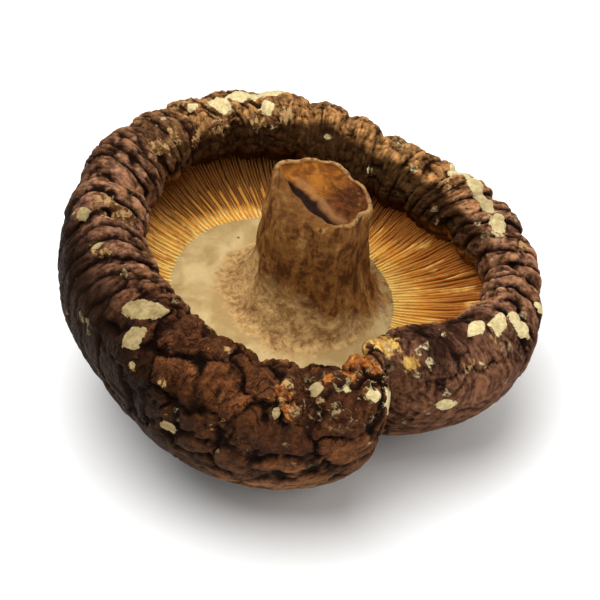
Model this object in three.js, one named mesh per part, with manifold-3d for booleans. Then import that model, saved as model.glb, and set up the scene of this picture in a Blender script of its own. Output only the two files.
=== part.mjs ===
// A dried shiitake mushroom, lying on the crown of its cap with its gills and cut stem upward.
// The fruiting body grew as one piece, so it is one solid: the domed cap with its rolled-in margin,
// the gill plates raised from the bed under the cap, the pale disc round the stem, and the stem.
// Lengths are in millimetres, angles in degrees, +Z is up and the ground is Z = 0.

import * as THREE from "three";
import { mergeVertices } from "three/addons/utils/BufferGeometryUtils.js";
import Module from "manifold-3d";

const wasm = await Module();
wasm.setup();

// Round the cap, every 30 degrees from the right (+X) by the back (+Y), the left and the front.
const RIM_RADIUS = [23.1, 20.6, 19.4, 20.9, 23.1, 24.2, 24.2, 24.2, 24.8, 24.6, 24.6, 24.8];
const ROLL_RADIUS = [3.1, 3.6, 3.7, 3.6, 3.7, 4.0, 4.3, 4.7, 4.9, 4.8, 5.0, 4.2];
const DOME_FLATNESS = [2.3, 2.35, 2.35, 2.35, 2.35, 2.35, 2.3, 2.15, 2.35, 2.5, 2.1, 2.05];
const DISC_RADIUS = [9.0, 8.6, 8.8, 9.4, 10.8, 12.4, 13.4, 13.2, 12.6, 12.0, 10.6, 9.6];

// The dome of the cap, from its crown to the widest ring, which is the cap's own Z = 0.
const CROWN_DEPTH = 17.5;
const CROWN_SHIFT = { x: -1.2, y: 1.0 };
const MARGIN_ANGLE = 200;
const MARGIN_SWING = 14;

// The cleft where two lobes of the rolled margin meet, and the folds that drying left.
const CLEFT_ANGLE = -62.3;
const CLEFT_WIDTH = 7.5;
const CLEFT_DEPTH = 3.0;
const LOBE_INSET = 4.6;
const LOBE_STEP = 6;
const LOBE_REACH = 34;
const CREASE_DEPTH = 0.75;
const CREASE_PAIRS = 12;
const BUCKLE_DEPTH = 0.4;

// Under the cap: the bed that carries the gills, the disc round the stem, and the gills.
const BED_UNDERCUT = 0.7;
const BED_AT_WALL = -4.0;
const BED_AT_DISC = -5.7;
const DISC_HEIGHT = -4.3;
const DISC_DOMING = 0.4;
const GILL_COUNT = 60;
const GILL_THICKNESS = 0.6;
const GILL_AT_WALL = -2.0;
const GILL_ROOT = 0.9;
const GILL_TUCK = 1.1;

// The stem: height along its axis, radius, and the sideways bend of its centre there.
const STEM = [
  { height: -6.5, radius: 6.6, bend: 0.0 },
  { height: -4.4, radius: 7.3, bend: 0.0 },
  { height: -3.4, radius: 6.5, bend: 0.0 },
  { height: -1.6, radius: 5.7, bend: 0.0 },
  { height: 1.5, radius: 5.3, bend: -0.2 },
  { height: 5.0, radius: 5.1, bend: -0.35 },
  { height: 8.0, radius: 5.0, bend: -0.35 },
  { height: 9.6, radius: 5.0, bend: -0.35 },
  { height: 10.4, radius: 4.6, bend: -0.35 },
];
const STEM_BASE = { x: 0.1, y: -0.5 };
const STEM_CUT_SLOPE = { x: 0.2, y: 0.12 };
const STEM_CUT_HOLLOW = 0.7;
// The cut end falls away past a line across it, which faces the angle and lies this far off centre.
const STEM_STEP = { angle: 221, off: 1.6, fall: 0.24 };
const STEM_FLUTES = 0.22;

// How the mushroom lies: leaning to the viewer and to the right, on a small flat of its crown.
const LEAN_FORWARD = 6;
const LEAN_RIGHT = 8;
const FLAT_CUT = 0.4;

// Mesh density: columns round the cap halve towards the crown and the stem.
const COLUMNS = 120;
const STEM_COLUMNS = 36;

const rad = THREE.MathUtils.degToRad;
const lerp = THREE.MathUtils.lerp;
const smooth = THREE.MathUtils.smoothstep;

// The value at an angle of a list that runs round the cap, on a closed Catmull-Rom curve.
function around(values, angle) {
  const n = values.length;
  const place = (((angle / (2 * Math.PI)) % 1) + 1) * n;
  const i = Math.floor(place);
  const f = place - i;
  const [a, b, c, d] = [-1, 0, 1, 2].map((k) => values[(i + k) % n]);
  return b + 0.5 * f * (c - a + f * (2 * a - 5 * b + 4 * c - d + f * (3 * (b - c) + d - a)));
}

// The signed angle past the cleft, positive on the lobe to its right.
function pastCleft(angle) {
  return Math.atan2(Math.sin(angle - rad(CLEFT_ANGLE)), Math.cos(angle - rad(CLEFT_ANGLE)));
}

// The widest radius of the cap. The lobe to the right of the cleft is folded further in.
function rimRadius(angle) {
  const past = pastCleft(angle);
  const width = rad(past < 0 ? LOBE_STEP : LOBE_REACH);
  return around(RIM_RADIUS, angle) - LOBE_INSET * Math.exp(-((past / width) ** 2));
}

// How far the skin is drawn in at an angle round the cap and a slope along its profile.
// The slope is -90 at the crown, 0 at the widest ring, 90 on top of the roll.
function drawnIn(angle, slope) {
  const near = Math.exp(-Math.abs(pastCleft(angle)) / rad(CLEFT_WIDTH));
  const cleft = CLEFT_DEPTH * near * smooth(slope, -70, -10);
  const wander = 0.9 * Math.sin(3 * angle + 0.5) + 0.6 * Math.sin(7 * angle + 2 + 0.02 * slope);
  const valley = (1 - Math.abs(Math.sin(CREASE_PAIRS * angle + wander))) ** 2;
  const crease = CREASE_DEPTH * valley * smooth(slope, -40, 50);
  const lumps = Math.sin(5 * angle + 2 + 0.02 * slope) + 0.8 * Math.sin(3 * angle - 1 - 0.05 * slope);
  const buckle = BUCKLE_DEPTH * lumps * Math.cos(rad(slope) / 2) * smooth(slope, -90, -30);
  return cleft + crease + buckle;
}

// Where the skin ends, rolled under the margin.
function marginSlope(angle) {
  return MARGIN_ANGLE - MARGIN_SWING * Math.sin(angle);
}

// Distance from the cap's axis and height of the skin, in the cap's own frame.
function skin(angle, slope) {
  const rim = rimRadius(angle);
  const roll = around(ROLL_RADIUS, angle);
  const [c, s] = [Math.cos(rad(slope)), Math.sin(rad(slope))];
  const power = 2 / around(DOME_FLATNESS, angle);
  const onDome = slope < 0;
  const out = onDome ? rim * Math.max(c, 0) ** power : rim - roll + roll * c;
  const up = onDome ? -CROWN_DEPTH * (-s) ** power : roll * s;
  const inward = drawnIn(angle, slope);
  const low = onDome ? smooth(-up, 0, CROWN_DEPTH) : 0;
  const [x, y] = [CROWN_SHIFT.x * low, CROWN_SHIFT.y * low];
  return { out: Math.max(out - inward * c, 0), up: up - inward * s, x, y };
}

// The cap's rings from the crown out, over the roll and in under it to the stem.
function capRings() {
  const ring = (columns, place) => ({ columns, place });
  const skinAt = (slope) => (angle) => skin(angle, slope);
  const margin = (angle) => skin(angle, marginSlope(angle));
  const quarter = COLUMNS / 4;
  const half = COLUMNS / 2;
  const rings = [];
  for (const slope of [-84, -76]) rings.push(ring(quarter, skinAt(slope)));
  for (const slope of [-67, -58]) rings.push(ring(half, skinAt(slope)));
  for (const slope of [-49, -40, -31, -22, -13, -4, 8, 24, 40, 56, 72, 88, 104, 122, 142, 164]) {
    rings.push(ring(COLUMNS, skinAt(slope)));
  }
  rings.push(ring(COLUMNS, margin));
  rings.push(ring(COLUMNS, (angle) => ({ out: margin(angle).out + BED_UNDERCUT, up: BED_AT_WALL })));
  const disc = (share, up) => (angle) => ({ out: share * around(DISC_RADIUS, angle), up });
  rings.push(ring(half, disc(1.03, BED_AT_DISC)));
  rings.push(ring(half, disc(1, DISC_HEIGHT)));
  rings.push(ring(quarter, disc(0.7, DISC_HEIGHT + DISC_DOMING)));
  return rings;
}

// A closed solid lofted through rings, each with its own number of columns, and two end points.
function loft(rings, first, last) {
  const points = [first];
  const faces = [];
  const starts = rings.map(({ columns, place }) => {
    const start = points.length;
    for (let i = 0; i < columns; i++) {
      const angle = (i / columns) * 2 * Math.PI;
      const { out, up, x = 0, y = 0 } = place(angle);
      points.push([x + out * Math.cos(angle), y + out * Math.sin(angle), up]);
    }
    return start;
  });
  points.push(last);
  const end = points.length - 1;
  const at = (ring, i) => starts[ring] + (i % rings[ring].columns);
  for (let i = 0; i < rings[0].columns; i++) faces.push(0, at(0, i + 1), at(0, i));
  for (let r = 0; r + 1 < rings.length; r++) {
    const [low, high] = [rings[r].columns, rings[r + 1].columns];
    const steps = Math.min(low, high);
    for (let i = 0; i < steps; i++) {
      const [a, b] = [at(r, (i * low) / steps), at(r, ((i + 1) * low) / steps)];
      const [c, d] = [at(r + 1, (i * high) / steps), at(r + 1, ((i + 1) * high) / steps)];
      if (low === high) {
        faces.push(a, b, d, a, d, c);
      } else if (low < high) {
        const middle = at(r + 1, 2 * i + 1);
        faces.push(a, middle, c, a, b, middle, b, d, middle);
      } else {
        const middle = at(r, 2 * i + 1);
        faces.push(a, middle, c, middle, d, c, middle, b, d);
      }
    }
  }
  const top = rings.length - 1;
  for (let i = 0; i < rings[top].columns; i++) faces.push(at(top, i), at(top, i + 1), end);
  return solid(points.flat(), faces);
}

function solid(positions, triangles) {
  return new wasm.Manifold(
    new wasm.Mesh({
      numProp: 3,
      vertProperties: new Float32Array(positions),
      triVerts: new Uint32Array(triangles),
    }),
  );
}

function solidOf(geometry) {
  const bare = new THREE.BufferGeometry().setAttribute("position", geometry.getAttribute("position"));
  if (geometry.index) bare.setIndex(geometry.index);
  const merged = mergeVertices(bare, 1e-4);
  return solid(merged.getAttribute("position").array, merged.index.array);
}

// One gill: a thin plate whose edge runs from the disc out to the wall, with its root in the bed.
function gill(index) {
  const angle = ((index + 0.5) / GILL_COUNT) * 2 * Math.PI;
  const inner = around(DISC_RADIUS, angle) - 0.5;
  const margin = skin(angle, marginSlope(angle));
  const outer = margin.out + BED_UNDERCUT + GILL_TUCK;
  const span = outer - inner;
  const edge = new THREE.QuadraticBezierCurve(
    new THREE.Vector2(inner, DISC_HEIGHT - 0.05),
    new THREE.Vector2(inner + 0.6 * span, DISC_HEIGHT + 0.5),
    new THREE.Vector2(outer, Math.min(GILL_AT_WALL, margin.up - 0.2)),
  );
  const outline = edge.getPoints(3);
  outline.push(new THREE.Vector2(outer, BED_AT_WALL - GILL_ROOT));
  outline.push(new THREE.Vector2(inner, BED_AT_DISC - GILL_ROOT));
  const plate = new THREE.ExtrudeGeometry(new THREE.Shape(outline.reverse()), {
    depth: GILL_THICKNESS,
    bevelEnabled: false,
  });
  plate.translate(0, 0, -GILL_THICKNESS / 2);
  plate.rotateX(Math.PI / 2);
  plate.rotateZ(angle);
  return solidOf(plate);
}

// The stem: fluted lengthways, flared into the disc, cut off aslant and a little hollow at its end.
function stem() {
  const rings = STEM.map(({ height, radius, bend }) => ({
    columns: STEM_COLUMNS,
    place: (angle) => {
      const flutes = STEM_FLUTES * (Math.sin(5 * angle + 1) + 0.6 * Math.sin(9 * angle + height / 3));
      const out = radius + flutes;
      const aslant = STEM_CUT_SLOPE.x * Math.cos(angle) + STEM_CUT_SLOPE.y * Math.sin(angle);
      const past = Math.max(out * Math.cos(angle - rad(STEM_STEP.angle)) - STEM_STEP.off, 0);
      const fall = STEM_STEP.fall * past ** 2 * smooth(height, 6.5, 9.6);
      const up = height - aslant * out * smooth(height, 1.5, 9.6) - fall;
      return { out, up, x: STEM_BASE.x + bend, y: STEM_BASE.y };
    },
  }));
  const bottom = [STEM_BASE.x, STEM_BASE.y, STEM[0].height];
  const top = [STEM_BASE.x, STEM_BASE.y, STEM.at(-1).height - STEM_CUT_HOLLOW];
  return loft(rings, bottom, top);
}

// The whole mushroom laid on the ground, with its crown cut to a small flat.
function mushroom() {
  const crown = [CROWN_SHIFT.x, CROWN_SHIFT.y, -CROWN_DEPTH];
  const cap = loft(capRings(), crown, [0, 0, DISC_HEIGHT + DISC_DOMING]);
  const gills = Array.from({ length: GILL_COUNT }, (_, i) => gill(i));
  const whole = [...gills, stem()].reduce((sum, piece) => sum.add(piece), cap);
  const made = geometryOf(whole);
  const lean = new THREE.Matrix4()
    .makeRotationY(rad(LEAN_RIGHT))
    .multiply(new THREE.Matrix4().makeRotationX(rad(LEAN_FORWARD)));
  made.applyMatrix4(lean);
  made.computeBoundingBox();
  const { min, max } = made.boundingBox;
  made.translate(-(min.x + max.x) / 2, -(min.y + max.y) / 2, -min.z - FLAT_CUT);
  const ground = new THREE.BoxGeometry(200, 200, 50).translate(0, 0, -25);
  return geometryOf(solidOf(made).subtract(solidOf(ground)));
}

function geometryOf(manifold) {
  const { numProp, numVert, vertProperties, triVerts } = manifold.getMesh();
  const positions = new Float32Array(numVert * 3);
  for (let i = 0; i < numVert; i++) {
    positions.set(vertProperties.subarray(i * numProp, i * numProp + 3), i * 3);
  }
  return new THREE.BufferGeometry()
    .setAttribute("position", new THREE.BufferAttribute(positions, 3))
    .setIndex(new THREE.BufferAttribute(triVerts, 1));
}

const skinMaterial = new THREE.MeshStandardMaterial({ color: 0x4a3022, roughness: 0.7, metalness: 0 });

const body = new THREE.Mesh(mushroom(), skinMaterial);
body.name = "mushroom";

const group = new THREE.Group();
group.add(body);

export default group;
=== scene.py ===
"""Looks for a dried shiitake mushroom that lies on its crown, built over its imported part."""

import itertools
import math

import bpy
import numpy as np
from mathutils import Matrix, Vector


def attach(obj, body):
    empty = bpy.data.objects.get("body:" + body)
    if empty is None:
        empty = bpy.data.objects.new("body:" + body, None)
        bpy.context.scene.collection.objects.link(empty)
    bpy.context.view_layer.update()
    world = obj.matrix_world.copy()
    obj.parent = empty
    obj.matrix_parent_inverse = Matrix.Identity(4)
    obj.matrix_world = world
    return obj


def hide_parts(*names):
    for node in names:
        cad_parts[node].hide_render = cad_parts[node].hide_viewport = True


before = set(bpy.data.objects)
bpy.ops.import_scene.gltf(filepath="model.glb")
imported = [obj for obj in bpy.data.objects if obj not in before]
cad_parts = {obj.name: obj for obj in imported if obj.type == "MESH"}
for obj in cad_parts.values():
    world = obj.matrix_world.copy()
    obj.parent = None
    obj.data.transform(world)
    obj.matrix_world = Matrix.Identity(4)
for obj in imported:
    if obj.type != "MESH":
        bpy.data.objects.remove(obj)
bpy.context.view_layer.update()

# The form, in millimetres and degrees, with the values of the part's own source. Only the bed's two
# heights differ: it lies higher here, because the gills are finer and closer.
RIM_RADIUS = [23.1, 20.6, 19.4, 20.9, 23.1, 24.2, 24.2, 24.2, 24.8, 24.6, 24.6, 24.8]
ROLL_RADIUS = [3.1, 3.6, 3.7, 3.6, 3.7, 4.0, 4.3, 4.7, 4.9, 4.8, 5.0, 4.2]
DOME_FLATNESS = [2.3, 2.35, 2.35, 2.35, 2.35, 2.35, 2.3, 2.15, 2.35, 2.5, 2.1, 2.05]
DISC_RADIUS = [9.0, 8.6, 8.8, 9.4, 10.8, 12.4, 13.4, 13.2, 12.6, 12.0, 10.6, 9.6]
CROWN_DEPTH = 17.5
CROWN_SHIFT = (-1.2, 1.0)
MARGIN_ANGLE = 200
MARGIN_SWING = 14
CLEFT_ANGLE = -62.3
CLEFT_WIDTH = 7.5
CLEFT_DEPTH = 3.0
LOBE_INSET = 4.6
LOBE_STEP = 6
LOBE_REACH = 34
CREASE_DEPTH = 0.75
CREASE_PAIRS = 12
BUCKLE_DEPTH = 0.4
BED_UNDERCUT = 0.7
BED_AT_WALL = -3.3
BED_AT_DISC = -4.65
DISC_HEIGHT = -4.3
GILL_AT_WALL = -2.0
GILL_TUCK = 1.1
STEM_BASE = (0.1, -0.5)
STEM_CUT_SLOPE = (0.2, 0.12)
STEM_STEP_ANGLE = 221
STEM_STEP_OFF = 1.6
STEM_STEP_FALL = 0.24
STEM_FLUTES = 0.22
LEAN_FORWARD = 6
LEAN_RIGHT = 8
FLAT_CUT = 0.4

# How finely the pieces are divided.
CAP_COLUMNS = 700
CROWN_ROWS = 15
WALL_ROWS = 46
ROLL_ROWS = 62
INNER_ROWS = 12
STEM_COLUMNS = 420
GILL_COUNT = 340
GILL_STEPS = 24
GILL_LEVELS = 3

# The sides of the cap that look different, in degrees round it.
REAR_SIDE = 85
LEFT_SIDE = 168
FRONT_SIDE = 250
LOBE_SIDE = 314
RIGHT_SIDE = 352

# The skin's wrinkles and cracks: pairs of pleats round the cap, then sizes and depths in millimetres.
PLEATS = 32
FINE_PLEATS = 88
RING_SPACING = 1.6
BRICK_SPACING = 1.2
PLATE_SIZE = (6.2, 6.2, 4.0)
PART_SIZE = (2.9, 2.9, 2.3)
SCALE_SIZE = 1.25
PLEAT_DEPTH = 0.66
FINE_PLEAT_DEPTH = 0.17
RING_DEPTH = 0.34
BRICK_DEPTH = 0.14
PLATE_DEPTH = 0.55
PART_DEPTH = 0.2
SCALE_DEPTH = 0.05
FOLD_DEPTH = 0.2
HATCH_DEPTH = 0.1
NET_DEPTH = 0.05

# The gills: how far they are rooted in the disc and in the bed, the least and most of half their
# thickness, and how far out each of four in turn begins, as a share of the way to the wall.
GILL_IN_DISC = 0.5
GILL_IN_BED = 0.4
GILL_HALF = (0.075, 0.105)
GILL_STARTS = (0.0, 0.14, 0.0, 0.5)

# The camera, in degrees and metres, with its sensor in millimetres. What it sees is FRAME_WIDTH wide
# at the mushroom.
CAMERA_ELEVATION = 41
CAMERA_DISTANCE = 0.60
FRAME_WIDTH = 0.0585
SENSOR_WIDTH = 36

# Random tables that all the noise of the shapes is read from.
rng = np.random.default_rng(11)
SHUFFLE = rng.permutation(256)
DIRECTIONS = rng.normal(size=(256, 3))
DIRECTIONS /= np.linalg.norm(DIRECTIONS, axis=1)[:, None]
SPOTS = rng.random((256, 3))
TONES = rng.random(256)


def smooth(x, low, high):
    """0 up to low and 1 from high on, with an even rise between. High may be the smaller one."""
    t = np.clip((x - low) / (high - low), 0, 1)
    return t * t * (3 - 2 * t)


def facing(angle, side, low, high):
    """How far an angle faces a side, by the cosine between them: 0 up to low and 1 from high on."""
    return smooth(np.cos(angle - math.radians(side)), low, high)


def curve(a, b, c, d, f):
    """The value a share f of the way from b to c, on a Catmull-Rom curve through four values."""
    return b + 0.5 * f * (c - a + f * (2 * a - 5 * b + 4 * c - d + f * (3 * (b - c) + d - a)))


def around(values, angle):
    """The value at an angle of a list that runs round the cap, on a closed curve."""
    v = np.asarray(values, float)
    place = (angle / (2 * np.pi)) % 1 * len(v)
    i = np.floor(place).astype(int)
    f = place - i
    return curve(*(v[(i + k) % len(v)] for k in (-1, 0, 1, 2)), f)


def lattice(cell):
    """A number from 0 to 255 for each whole-numbered cell."""
    x, y, z = (cell[..., k] & 255 for k in range(3))
    return SHUFFLE[(SHUFFLE[(SHUFFLE[x] + y) & 255] + z) & 255]


def noise(p, seed=0):
    """Gradient noise, about -1 to 1, with features about one unit apart."""
    p = p + 17.31 * seed
    cell = np.floor(p).astype(int)
    f = p - cell
    w = f * f * f * (f * (f * 6 - 15) + 10)
    total = np.zeros(p.shape[:-1])
    for corner in itertools.product((0, 1), repeat=3):
        share = np.prod(np.where(corner, w, 1 - w), axis=-1)
        slope = DIRECTIONS[lattice(cell + np.array(corner))]
        total += share * np.sum(slope * (f - corner), axis=-1)
    return 1.7 * total


def layered(p, layers, seed=0):
    """Several sizes of noise, each half as large and half as strong as the last."""
    return sum(noise(p * 2**k, seed + 3 * k) / 2**k for k in range(layers))


def cells(p, seed=0):
    """Distance to the border between cells one unit across, and a tone from 0 to 1 for each cell."""
    p = p + 9.77 * seed
    base = np.floor(p).astype(int)
    first = np.full(p.shape[:-1], 9.0)
    second = first.copy()
    tone = np.zeros_like(first)
    for offset in itertools.product((-1, 0, 1), repeat=3):
        cell = base + np.array(offset)
        pick = lattice(cell)
        away = np.linalg.norm(p - cell - SPOTS[pick], axis=-1)
        nearer = away < first
        second = np.where(nearer, first, np.minimum(second, away))
        tone = np.where(nearer, TONES[pick], tone)
        first = np.minimum(first, away)
    return (second - first) / 2, tone


def valley(phase, sharpness=2):
    """Rounded ridges with narrow valleys between: 0 on a ridge and 1 at the bottom of a valley."""
    return (1 - np.abs(np.sin(phase))) ** sharpness


def creased(p, seed, sharpness=3):
    """A net of narrow lines where noise crosses zero: 1 on a line and towards 0 between lines."""
    return np.maximum(1 - 1.6 * np.abs(noise(p, seed)), 0) ** sharpness


def past_cleft(angle):
    """The angle in radians from the cleft, from minus pi to pi."""
    off = angle - math.radians(CLEFT_ANGLE)
    return np.arctan2(np.sin(off), np.cos(off))


def rim_radius(angle):
    """The rim's distance from the middle, where the lobe past the cleft lies further in."""
    past = past_cleft(angle)
    width = np.radians(np.where(past < 0, LOBE_STEP, LOBE_REACH))
    return around(RIM_RADIUS, angle) - LOBE_INSET * np.exp(-((past / width) ** 2))


def drawn_in(angle, slope):
    """The cleft, the creases and the buckles that the part's source gives its skin."""
    cleft = CLEFT_DEPTH * np.exp(-np.abs(past_cleft(angle)) / math.radians(CLEFT_WIDTH))
    cleft = cleft * smooth(slope, -70, -10)
    wander = 0.9 * np.sin(3 * angle + 0.5) + 0.6 * np.sin(7 * angle + 2 + 0.02 * slope)
    crease = CREASE_DEPTH * valley(CREASE_PAIRS * angle + wander) * smooth(slope, -40, 50)
    lumps = np.sin(5 * angle + 2 + 0.02 * slope) + 0.8 * np.sin(3 * angle - 1 - 0.05 * slope)
    buckle = BUCKLE_DEPTH * lumps * np.cos(np.radians(slope) / 2) * smooth(slope, -90, -30)
    return cleft + crease + buckle


def margin_slope(angle):
    """The slope at which the skin ends, where it has rolled in over the gills."""
    return MARGIN_ANGLE - MARGIN_SWING * np.sin(angle)


def skin(angle, slope):
    """Points of the skin in the cap's own frame. The slope is -90 at the crown and 0 at the rim."""
    rim = rim_radius(angle)
    roll = around(ROLL_RADIUS, angle)
    c, s = np.cos(np.radians(slope)), np.sin(np.radians(slope))
    power = 2 / around(DOME_FLATNESS, angle)
    dome = slope < 0
    out = np.where(dome, rim * np.maximum(c, 0) ** power, rim - roll + roll * c)
    up = np.where(dome, -CROWN_DEPTH * np.maximum(-s, 0) ** power, roll * s)
    inward = drawn_in(angle, slope)
    low = np.where(dome, smooth(-up, 0, CROWN_DEPTH), 0)
    out = np.maximum(out - inward * c, 0)
    x = out * np.cos(angle) + CROWN_SHIFT[0] * low
    y = out * np.sin(angle) + CROWN_SHIFT[1] * low
    return np.stack([x, y, up - inward * s], axis=-1)


def turned(p):
    """Points in the cap's own frame, turned as the mushroom lies."""
    a, b = math.radians(LEAN_FORWARD), math.radians(LEAN_RIGHT)
    about_x = np.array([[1, 0, 0], [0, math.cos(a), -math.sin(a)], [0, math.sin(a), math.cos(a)]])
    about_y = np.array([[math.cos(b), 0, math.sin(b)], [0, 1, 0], [-math.sin(b), 0, math.cos(b)]])
    return p @ (about_y @ about_x).T


def angles(columns):
    """Angles in radians at even steps round the cap."""
    return np.arange(columns) / columns * 2 * np.pi


def resting_offset():
    """Where the turned form has to go for its box to stand on the origin, as in the part's source."""
    angle, slope = np.meshgrid(angles(240), np.linspace(-89, 150, 160))
    p = turned(skin(angle, slope).reshape(-1, 3))
    low, high = p.min(0), p.max(0)
    return np.array([-(low[0] + high[0]) / 2, -(low[1] + high[1]) / 2, -low[2] - FLAT_CUT])


OFFSET = resting_offset()


def placed(p):
    """Points in the cap's own frame, in metres where the mushroom lies, pressed flat on the ground."""
    q = turned(p) + OFFSET
    q[..., 2] = np.maximum(q[..., 2], 0)
    return q / 1000


def normals(p):
    """Outward normals of a grid of points whose second axis closes on itself."""
    along = np.gradient(p, axis=0)
    across = np.roll(p, -1, axis=1) - np.roll(p, 1, axis=1)
    n = np.cross(across, along)
    return n / np.maximum(np.linalg.norm(n, axis=-1, keepdims=True), 1e-9)


def blurred(field, rows, columns):
    """A field on a closed grid, averaged over about that many rows and columns each way."""
    for _ in range(2):
        total = sum(np.roll(field, k, axis=1) for k in range(-columns, columns + 1))
        field = total / (2 * columns + 1)
        padded = np.pad(field, ((rows, rows), (0, 0)), mode="edge")
        total = sum(padded[k : k + len(field)] for k in range(2 * rows + 1))
        field = total / (2 * rows + 1)
    return field


def grid_faces(rows, columns):
    """Quads of a grid that closes on itself sideways, with a fan to a pole at each end."""
    i = np.arange(columns)
    j = (i + 1) % columns
    r = np.arange(rows - 1)[:, None] * columns
    quads = np.stack([r + i, r + j, r + columns + j, r + columns + i], axis=-1).reshape(-1, 4)
    first, last = rows * columns, rows * columns + 1
    top = (rows - 1) * columns
    fans = [(first, b, a) for a, b in zip(i, j)] + [(last, top + a, top + b) for a, b in zip(i, j)]
    return quads.tolist() + [tuple(int(v) for v in fan) for fan in fans]


def mesh_object(name, points, faces, fields, material, vectors=None):
    """A smooth-shaded object from points in metres, with a value of each field at every point."""
    mesh = bpy.data.meshes.new(name)
    mesh.from_pydata(points.tolist(), [], faces)
    mesh.update()
    for key, values in fields.items():
        attribute = mesh.attributes.new(key, "FLOAT", "POINT")
        attribute.data.foreach_set("value", np.asarray(values, np.float32))
    for key, values in (vectors or {}).items():
        attribute = mesh.attributes.new(key, "FLOAT_VECTOR", "POINT")
        attribute.data.foreach_set("vector", np.asarray(values, np.float32).reshape(-1))
    mesh.polygons.foreach_set("use_smooth", [True] * len(mesh.polygons))
    mesh.materials.append(material)
    made = bpy.data.objects.new(name, mesh)
    bpy.context.scene.collection.objects.link(made)
    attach(made, "root")
    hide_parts("mushroom")
    return made


# Pale patches where the skin has flaked: the angle and the slope of the middle in degrees, the width
# round the cap and the height up its profile in millimetres, and the degrees it is turned from that.
FLAKES = [
    (218, 74, 2.7, 5.4, -48),
    (222, 42, 2.6, 3.2, -20),
    (239, -6, 2.0, 2.2, 20),
    (180, 49, 1.5, 1.8, 0),
    (192, 63, 1.0, 1.6, 0),
    (119, 80, 2.2, 3.6, 20),
    (112, 62, 3.4, 2.4, 10),
    (103, 46, 5.0, 2.4, 0),
    (106, 100, 1.6, 2.6, 0),
    (127, 75, 1.6, 1.4, 0),
    (39, 52, 3.2, 2.0, 0),
    (31, 66, 4.6, 1.9, -12),
    (23, 76, 3.4, 1.6, -12),
    (15, 84, 2.8, 2.0, 0),
    (327, 84, 3.2, 1.8, 0),
    (334, 74, 3.0, 2.0, 20),
    (340, 62, 2.4, 1.8, 0),
    (339, 38, 2.2, 2.6, 0),
    (350, 18, 1.0, 2.2, 0),
    (312, -6, 2.2, 2.0, 0),
    (328, -16, 1.4, 1.2, 0),
    (271, 80, 1.7, 1.7, 0),
    (279, 78, 1.2, 1.2, 0),
    (286, 66, 1.6, 1.6, 0),
    (262, 42, 1.0, 1.6, 0),
    (291, 42, 1.1, 3.4, 0),
    (293, 16, 1.0, 3.4, 0),
    (226, 18, 0.9, 1.0, 0),
    (60, -20, 2.4, 1.8, 30),
    (140, -10, 2.0, 2.6, 0),
    (86, 20, 1.6, 2.0, 0),
    (160, -45, 2.2, 1.5, 0),
    (10, -40, 1.8, 1.8, 0),
]

# Soft spots of another colour: amber and orange flesh laid bare by the cleft, dark skin with painted
# shade among it at the rear left, and ochre scales. Each has an angle, a slope and a reach, and some a
# strength under 1.
AMBERS = [(300, 98, 1.5), (303, 50, 1.0), (298, 122, 1.2), (293, 155, 1.0)]
ORANGES = [
    (286, 135, 1.9), (289, 104, 1.5), (281, 108, 1.3), (274, 98, 0.9), (262, 70, 1.0), (264, 53, 1.4),
]
DARK_SPOTS_AND_SHADING = [
    (313, 100, 2.2), (322, 104, 2.4), (331, 112, 1.8), (312, 66, 2.0), (205, 40, 3.5), (190, 20, 4.5),
    (236, 112, 1.5), (150, 60, 4.5, 0.5), (142, 95, 4.5, 0.7), (137, 80, 2.5, 0.3),
]
OCHRES = [
    (179, 105, 2.0), (175, 82, 1.8), (192, 59, 1.0), (147, 118, 1.8), (127, 58, 1.6), (123, 125, 1.5),
    (118, 98, 1.5), (101, 112, 1.5), (232, 131, 1.2), (245, 101, 0.9), (226, 17, 0.6), (235, 27, 0.7),
    (263, 82, 0.9), (266, 48, 0.9), (272, 64, 0.9), (285, 70, 1.4), (60, 80, 1.6), (36, 95, 1.6),
    (8, 60, 1.2), (178, 129, 1.2), (180, 91, 1.6), (195, 65, 1.3), (263, 53, 1.0), (140, 118, 1.6),
    (132, 135, 1.5), (110, 125, 1.4), (330, 60, 1.2), (318, 30, 1.2),
]

# Lumps that stand up from the skin, each an angle, a slope, a reach and a height.
BULGES = [
    (286, 138, 1.7, 1.1), (298, 122, 1.4, 0.8), (302, 78, 1.2, 0.45), (303, 58, 1.1, 0.35),
    (281, 104, 1.2, 0.3),
]


def dotted(p, places):
    """1 or its strength in the middle of each soft spot of a list, falling to 0 outside it."""
    most = np.zeros(p.shape[:-1])
    for at, rise, reach, *strength in places:
        d = p - skin(np.array(math.radians(at)), np.array(float(rise)))
        spot = np.exp(-np.sum(d * d, axis=-1) / reach**2)
        most = np.maximum(most, spot * (strength[0] if strength else 1))
    return most


def flakes(p):
    """How far inside a pale patch each point is: above 0 inside, below 0 outside."""
    most = np.full(p.shape[:-1], -1.0)
    for at, rise, wide, tall, turn in FLAKES:
        angle = np.array(math.radians(at))
        centre, above = skin(angle, np.array(float(rise))), skin(angle, np.array(rise + 2.0))
        up = (above - centre) / np.linalg.norm(above - centre)
        aside = np.array([-math.sin(angle), math.cos(angle), 0])
        c, t = math.cos(math.radians(turn)), math.sin(math.radians(turn))
        d = p - centre
        u, v = d @ (aside * c + up * t), d @ (up * c - aside * t)
        off = np.abs(np.sum(d * np.cross(aside, up), axis=-1))
        reach = (np.abs(u) / wide * 2) ** 1.4 + (np.abs(v) / tall * 2) ** 1.4 + (off / 3) ** 2
        most = np.maximum(most, (1 - reach) * min(1, 0.4 * (wide + tall) / 2))
    return most


def cap_rows():
    """The slope of each row below the rim, and the share of the way to the margin of each above."""
    crown = np.linspace(-88, -60, CROWN_ROWS, endpoint=False)
    wall = np.linspace(-60, 0, WALL_ROWS, endpoint=False)
    return np.concatenate([crown, wall]), np.linspace(0, 1, ROLL_ROWS)


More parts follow.
